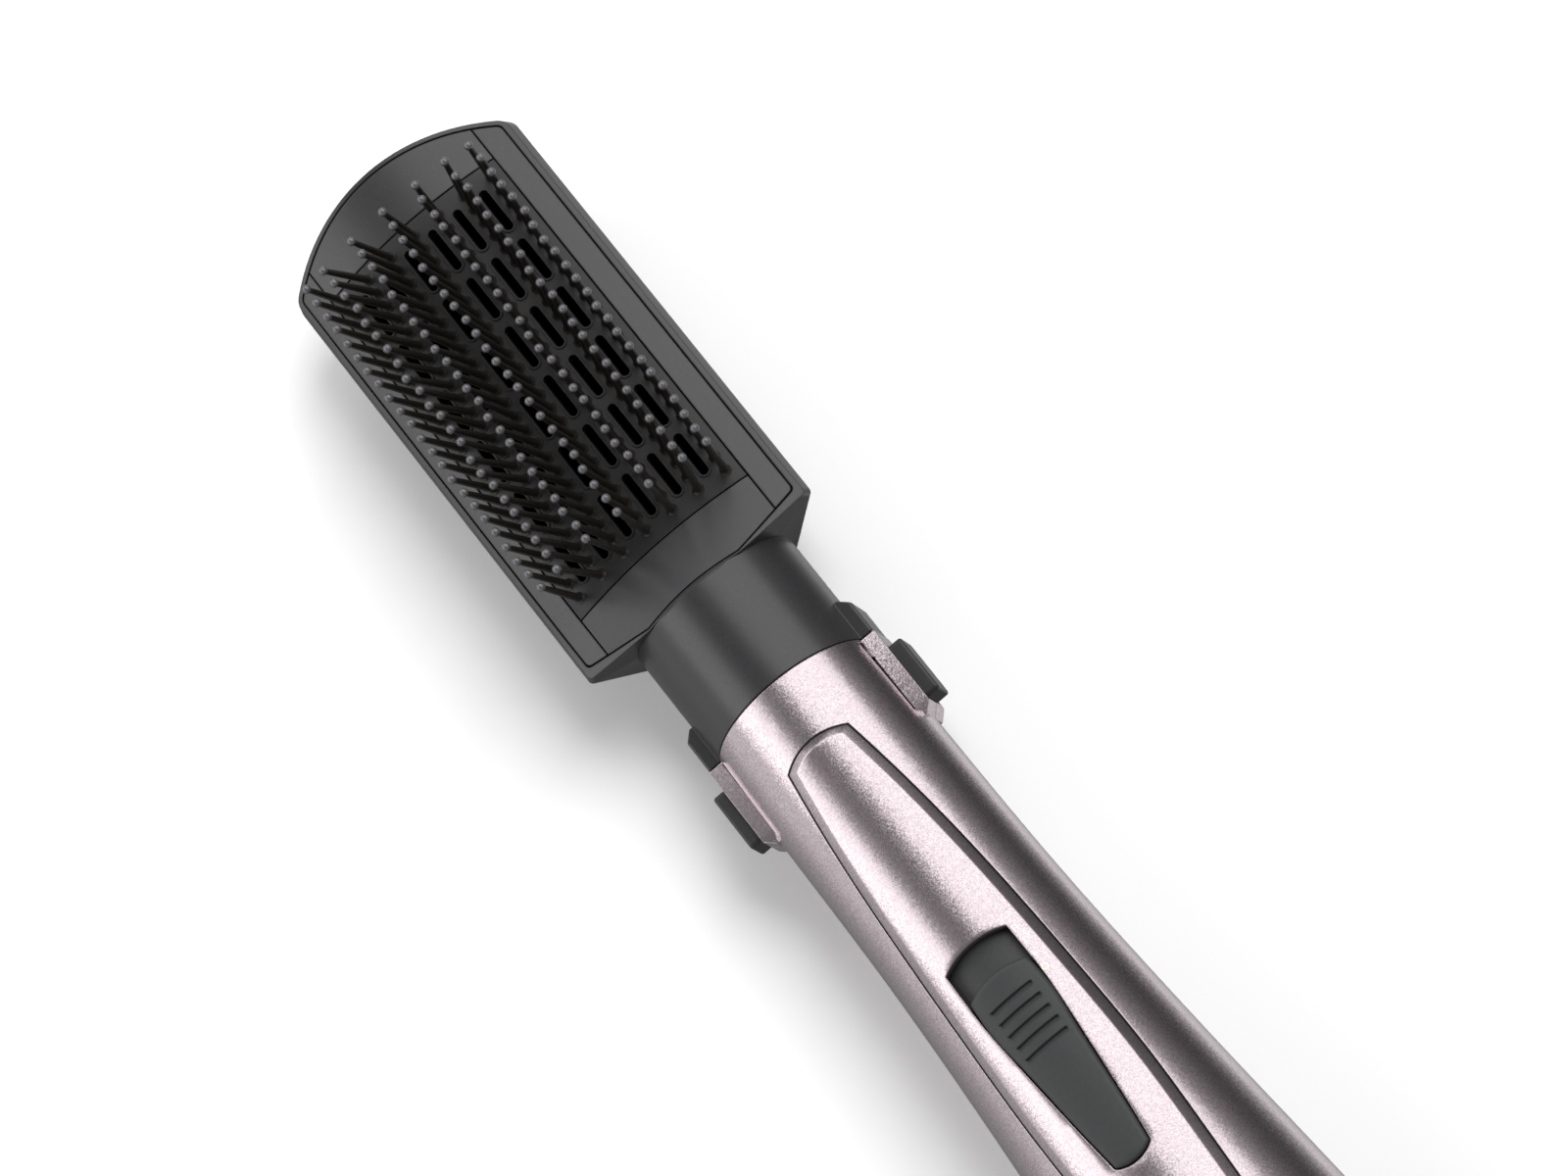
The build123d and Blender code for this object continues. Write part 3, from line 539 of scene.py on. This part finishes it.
class Sheet:
    """A skin over a curved surface: walls that follow outlines, and a filled top."""

    def __init__(self, surface):
        self.surface = surface
        self.points = []
        self.faces = []
        self.loops = []

    def wall(self, loop, rings, outward=True):
        """Rings of (inset, level) up the wall of an outline; the last one bounds the top."""
        last = None
        for inset, level in rings:
            ring = inset_loop(loop, inset if outward else -inset)
            start = len(self.points)
            self.points += [self.surface(x, y, level) for x, y in ring]
            if last is not None:
                self.join(last, start, len(ring), outward)
            last = start
        self.loops.append((last, ring, outward))

    def join(self, lower, upper, count, outward):
        """Faces between two rings that start at points lower and upper."""
        for i in range(count):
            j = (i + 1) % count
            quad = (lower + i, lower + j, upper + j, upper + i)
            self.faces.append(quad if outward else quad[::-1])

    def fill(self, level, spacing, rows=None):
        """Fill between the loops at level, with points spaced evenly in between."""
        outer = next(ring for _, ring, outward in self.loops if outward)
        corners = np.array(outer)
        low, high = corners.min(axis=0), corners.max(axis=0)
        columns = np.arange(math.ceil(low[0] / spacing) * spacing, high[0], spacing)
        rows = np.arange(low[1] + spacing / 2, high[1], spacing) if rows is None else np.array(rows)
        grid = np.array([(x, y) for y in rows for x in columns])
        keep = np.ones(len(grid), bool)
        for _, ring, outward in self.loops:
            keep &= inside(grid, ring) == outward
            keep &= gap_to_loop(grid, distinct(ring)) > spacing * 0.4
        grid = grid[keep]
        flat, ids, edges = [], [], []
        for start, ring, _ in self.loops:
            first = len(flat)
            flat += [Vector(point) for point in ring]
            ids += [start + i for i in range(len(ring))]
            edges += [(first + i, first + (i + 1) % len(ring)) for i in range(len(ring))]
        start = len(self.points)
        heights = level if callable(level) else (lambda x, y: level)
        self.points += [self.surface(x, y, heights(x, y)) for x, y in grid]
        flat += [Vector(point) for point in grid]
        ids += [start + i for i in range(len(grid))]
        made = delaunay_2d_cdt(flat, edges, [], 0, 1e-5)
        sources = [ids[originals[0]] if originals else None for originals in made[3]]
        if None in sources:
            raise ValueError("an outline crosses itself")
        centres = np.array([np.mean([made[0][i] for i in face], axis=0) for face in made[2]])
        good = inside(centres, outer)
        for _, ring, outward in self.loops:
            if not outward:
                good &= ~inside(centres, ring)
        for face, wanted in zip(made[2], good):
            if wanted:
                self.faces.append(tuple(sources[i] for i in face))


# ------------------------------------------------------------------ switch panel and knob
# Millimetres: sides are (x, y) about the seam, rises and roots are above the barrel's surface
PANEL_SIDE = [(8.7, -18.6), (10.9, -34), (13.8, -66.5), (15.2, -96),
              (15.8, -121), (15.1, -147), (14.2, -166), (12.6, -181)]
PANEL_FRONT_Y = -16.3
PANEL_REAR_Y = -184.5
WINDOW_SIDE = [(8.75, -79.1), (8.9, -92.8), (8.0, -107), (6.65, -123), (5.1, -138.6)]
WINDOW_FRONT_Y = -77.4
WINDOW_REAR_Y = -140.5
KNOB_FRONT_Y = -86.3
KNOB_GAP = 0.3
PANEL_BEVEL = 2.1
PANEL_RISE = 1.0
PANEL_ROOT = -1.15
GAP_SHADE_WIDTH = 0.3            # of the strip of painted shade round the panel, a dark line that stands for the gap's shadow
GAP_SHADE_LEVEL = 0.06
KNOB_RISE = 1.7
KNOB_ROOT = -2.0
GROOVE_YS = [-93.6, -97.0, -100.4, -103.7, -107.1]
GROOVE_HALF = 6.0
GROOVE_WIDTH = 1.5
GROOVE_DEPTH = 0.75
GROOVE_STEEP = 0.15         # share of the width that the steep front wall takes
KNOB_ROW_PITCH = 0.8


def make_switch_panel(look, gap_shade_look):
    """The raised panel with a strip of painted shade for the gap round it, its wide bevel and the window
    for the knob.
    """
    sheet = Sheet(on_barrel)
    outline = leaf(PANEL_SIDE, PANEL_FRONT_Y, PANEL_REAR_Y)
    # A near-black strip of painted shade round the panel's foot stands for the shadow in the gap.
    sheet.wall(outline, [(-GAP_SHADE_WIDTH, GAP_SHADE_LEVEL), (0.05, GAP_SHADE_LEVEL)])
    sheet.loops.clear()
    gap_shade_faces = len(sheet.faces)
    sheet.wall(outline, [(0.0, PANEL_ROOT), (0.0, -0.12), (0.06, -0.02), (0.2, 0.08),
                         (PANEL_BEVEL - 0.15, PANEL_RISE - 0.09), (PANEL_BEVEL, PANEL_RISE - 0.02),
                         (PANEL_BEVEL + 0.2, PANEL_RISE)])
    window = leaf(WINDOW_SIDE, WINDOW_FRONT_Y, WINDOW_REAR_Y)
    sheet.wall(window, [(0.0, PANEL_ROOT), (0.0, PANEL_RISE - 0.25), (0.08, PANEL_RISE - 0.07),
                        (0.25, PANEL_RISE)], outward=False)
    sheet.fill(PANEL_RISE, 1.5)
    face_looks = [1] * gap_shade_faces + [0] * (len(sheet.faces) - gap_shade_faces)
    place_piece("switch_panel_skin", sheet.points, sheet.faces, [look, gap_shade_look], "root",
                ["switch_panel"], face_looks, sharp=50.0)


def knob_level(x, y):
    """Level of the knob's top, with wedge grooves that are steep at the front."""
    depth = 0.0
    if abs(x) < GROOVE_HALF:
        for groove in GROOVE_YS:
            along = (groove + GROOVE_WIDTH / 2 - y) / GROOVE_WIDTH
            if 0.0 <= along <= 1.0:
                fall = min(along / GROOVE_STEEP, 1.0)
                climb = max(along - GROOVE_STEEP, 0.0) / (1.0 - GROOVE_STEEP)
                depth = GROOVE_DEPTH * fall * (1.0 - climb) ** 0.8
    return KNOB_RISE - depth


def make_knob(look):
    """The sliding knob, rounded along its edge, with five grip grooves."""
    side = [(8.2, KNOB_FRONT_Y - 1.6)] + [(x - KNOB_GAP, y) for x, y in WINDOW_SIDE[1:]]
    outline = leaf(side, KNOB_FRONT_Y, WINDOW_REAR_Y + KNOB_GAP, KNOB_ROW_PITCH)
    sheet = Sheet(on_barrel)
    sheet.wall(outline, [(0.0, KNOB_ROOT), (0.0, 0.7), (0.05, 1.15), (0.2, 1.42), (0.45, 1.6),
                         (0.8, KNOB_RISE)])
    rows = list(np.arange(-140.0, -86.5, KNOB_ROW_PITCH))
    for groove in GROOVE_YS:
        rows = [y for y in rows if abs(y - groove) > 1.1]
        steps = (-0.06, 0.02, GROOVE_STEEP, 0.35, 0.6, 0.85, 1.0)
        rows += [groove + GROOVE_WIDTH / 2 - GROOVE_WIDTH * step for step in steps]
    sheet.fill(knob_level, 0.5, sorted(rows))
    place_piece("switch_knob_cap", sheet.points, sheet.faces, [look], "slider",
                ["switch_knob"], sharp=32.0)


# ------------------------------------------------------------------ bristles
# Millimetres and degrees
COLUMN_PITCH = 7.37
COLUMNS = 7
ROWS = 23
FIRST_ROW_Y = 49.5
ROW_PITCH = 4.27
LEAN_DEG = [0.0, 5.8, 11.0, 8.6]    # sideways lean, from the middle column outwards
BRISTLE_LENGTH = 21.3
BALL_R = 1.12
CROWN_Z = 17.5
CROWN_R = 72.0
LEAN_JITTER = 0.012         # radians
TILT_JITTER = 0.008
BALL_LATITUDES = (-52, -30, -10, 12, 34, 56, 76)
# Rings up a bristle: (radius, height), from below the pad through its collar to the ball
BRISTLE_RINGS = [(0.95, -3.0), (0.95, -0.4), (1.5, 0.05), (1.36, 0.28), (1.0, 0.55), (0.93, 1.1),
                 (0.88, 6.0), (0.78, 13.0), (0.68, 19.2)]


def crown_z(x):
    """Height of the crowned pad."""
    return CROWN_Z - CROWN_R + math.sqrt(CROWN_R ** 2 - x ** 2)


def ball_rings():
    """Rings of the ball on a bristle's tip, from its neck to near its top."""
    centre = BRISTLE_LENGTH - BALL_R
    angles = [math.radians(latitude) for latitude in BALL_LATITUDES]
    return [(BALL_R * math.cos(a), centre + BALL_R * math.sin(a)) for a in angles]


def bristle(points, faces, face_looks, foot, lean, tilt, around=12):
    """Add one bristle: a tapered shaft with a collar at its foot and a ball on its tip.

    It leans sideways by lean and along the head by tilt."""
    rings = BRISTLE_RINGS + ball_rings()
    first = len(points)
    cos, sin = math.cos(lean), math.sin(lean)
    for radius, height in rings:
        for i in range(around):
            turn = 2 * math.pi * i / around
            x, y = radius * math.cos(turn), radius * math.sin(turn)
            points.append((foot[0] + x * cos + height * sin, foot[1] + y + height * tilt,
                           foot[2] - x * sin + height * cos))
    points.append((foot[0] + BRISTLE_LENGTH * sin, foot[1] + BRISTLE_LENGTH * tilt,
                   foot[2] + BRISTLE_LENGTH * cos))
    top = len(points) - 1
    for level in range(len(rings) - 1):
        for i in range(around):
            j = (i + 1) % around
            low, high = first + level * around, first + (level + 1) * around
            faces.append((low + i, low + j, high + j, high + i))
            face_looks.append(1 if level >= len(BRISTLE_RINGS) - 1 else 0)
    last = first + (len(rings) - 1) * around
    for i in range(around):
        faces.append((last + i, last + (i + 1) % around, top))
        face_looks.append(1)


def make_bristles(shaft_look, ball_look):
    """Seven strips of bristles, each a little uneven as moulded nylon is."""
    chance = random.Random(23)
    for column in range(COLUMNS):
        offset = column - (COLUMNS - 1) // 2
        x = offset * COLUMN_PITCH
        lean = math.radians(LEAN_DEG[abs(offset)]) * (1 if offset > 0 else -1)
        points, faces, face_looks = [], [], []
        for row in range(ROWS):
            foot = (x, FIRST_ROW_Y + row * ROW_PITCH, crown_z(x))
            leaning = lean + chance.gauss(0.0, LEAN_JITTER)
            bristle(points, faces, face_looks, foot, leaning, chance.gauss(0.0, TILT_JITTER))
        place_piece(f"bristles_{column + 1}", points, faces, [shaft_look, ball_look],
                    "head", [f"bristle_strip_{column + 1}"], face_looks, sharp=50.0)


# ------------------------------------------------------------------ marks by the switch
MARK_X = 9.95
MARK_YS = [-80.8, -84.4, -88.3, -92.2]
MARK_LEVEL = 0.03           # above the panel
BAR_HALF_WIDTH = 0.16
BAR_HALF_LENGTH = 0.85
BAR_GAP = 0.4
DOT_RADIUS = 0.5
RING_RADII = (0.55, 0.85)
MARK_STEPS = 20


def make_marks(look):
    """Four plain position marks printed beside the switch: two bars, a bar, a dot and a ring."""
    points, faces = [], []

    def patch(corners):
        start = len(points)
        points.extend(on_barrel(x, y, PANEL_RISE + MARK_LEVEL) for x, y in corners)
        faces.append(tuple(range(start, start + len(corners))))

    def bar(x, y):
        corners = ((-1, -1), (1, -1), (1, 1), (-1, 1))
        patch([(x + i * BAR_HALF_WIDTH, y + j * BAR_HALF_LENGTH) for i, j in corners])

    def spot(turn, radius, y):
        return (MARK_X + radius * math.cos(turn), y + radius * math.sin(turn))

    bar(MARK_X - BAR_GAP, MARK_YS[0])
    bar(MARK_X + BAR_GAP, MARK_YS[0])
    bar(MARK_X, MARK_YS[1])
    for step in range(MARK_STEPS):
        a, b = (2 * math.pi * (step + i) / MARK_STEPS for i in (0, 1))
        patch([(MARK_X, MARK_YS[2]), spot(a, DOT_RADIUS, MARK_YS[2]), spot(b, DOT_RADIUS, MARK_YS[2])])
        inner, outer = RING_RADII
        patch([spot(a, outer, MARK_YS[3]), spot(b, outer, MARK_YS[3]),
               spot(b, inner, MARK_YS[3]), spot(a, inner, MARK_YS[3])])
    place_piece("position_marks", points, faces, [look], "root")


# ------------------------------------------------------------------ rails
# Top of the rails beside the buttons, in millimetres about the seam
RAIL_INNER_X = 21.05
RAIL_OUTER_X = 24.7
RAIL_TOP_Z = 5.83
RAIL_CREST = 0.5           # the inner edge stands this much higher than the outer
RAIL_LIP = 0.03            # the outer edge stands this much above its rear end
RAIL_FACE_YS = (-0.25, -19.8, -22.3)    # front, where the slope starts, rear
RAIL_CORNER = (23.55, -21.0)
RAIL_DEPTH = 0.45


def make_rail_faces(look):
    """The face of each rail leans outwards, and its rear end slopes down to the shell."""
    front, bend, rear = RAIL_FACE_YS
    corner_x, corner_y = RAIL_CORNER
    crest = RAIL_TOP_Z + RAIL_CREST
    points, faces = [], []
    for side in (1, -1):
        start = len(points)
        top = [(RAIL_INNER_X, front, crest), (RAIL_INNER_X, bend, crest),
               (RAIL_INNER_X, rear, RAIL_TOP_Z), (corner_x, rear, RAIL_TOP_Z),
               (RAIL_OUTER_X, corner_y, RAIL_TOP_Z), (RAIL_OUTER_X, bend, RAIL_TOP_Z + RAIL_LIP),
               (RAIL_OUTER_X, front, RAIL_TOP_Z + RAIL_LIP)]
        points += [(side * x, y, z) for x, y, z in top]
        points += [(side * x, y, RAIL_TOP_Z - RAIL_DEPTH) for x, y, _ in top]
        count = len(top)
        made = [(0, 1, 5, 6), (1, 2, 3, 4, 5), tuple(range(2 * count - 1, count - 1, -1))]
        made += [(i, i + count, (i + 1) % count + count, (i + 1) % count) for i in range(count)]
        for face in made:
            faces.append(tuple(start + i for i in (face if side > 0 else face[::-1])))
    place_piece("rail_faces", points, faces, [look], "root", sharp=20.0)


# ------------------------------------------------------------------ floor
# The brush lies on its rear end and nearly on the head's back, so the floor leans this much
FLOOR_SLOPE = 0.0345
FLOOR_HALF = 3.0


def make_floor():
    """A pale floor that the mirror-like paint does not pick up."""
    mesh = bpy.data.meshes.new("floor")
    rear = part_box("upper_shell")[0]
    corners = [(-FLOOR_HALF, -FLOOR_HALF), (FLOOR_HALF, -FLOOR_HALF), (FLOOR_HALF, FLOOR_HALF),
               (-FLOOR_HALF, FLOOR_HALF)]
    mesh.from_pydata([(x, y, (y - rear.y) * FLOOR_SLOPE) for x, y in corners], [], [(0, 1, 2, 3)])
    floor = bpy.data.objects.new("floor", mesh)
    bpy.context.scene.collection.objects.link(floor)
    paint = Paint("floor_paint", (0.93, 0.93, 0.93), 0.9)
    paint.set("Specular IOR Level", 0.0)
    floor.data.materials.append(paint.material)
    floor.visible_glossy = False


make_camera()
make_lights()
looks = all_materials()
dress_nodes(looks)
dress_head_shell()
dress_saddle()
dress_buttons()
# The panel's gap is drawn as a near-black strip of painted shade.
make_switch_panel(looks["metallic_shell"], satin("painted_gap_shade", (0.006, 0.006, 0.006), 0.7, shine=0.2))
make_knob(looks["switch_black"])
make_bristles(looks["bristle_black"],
              satin("bristle_ball", (0.080, 0.077, 0.084), 0.13, grain=0.0, shine=1.0))
make_marks(satin("mark_ink", (0.80, 0.79, 0.70), 0.5, grain=0.002))
make_rail_faces(lacquer("rail_lacquer", SHELL_PINK, 0.15))
make_floor()
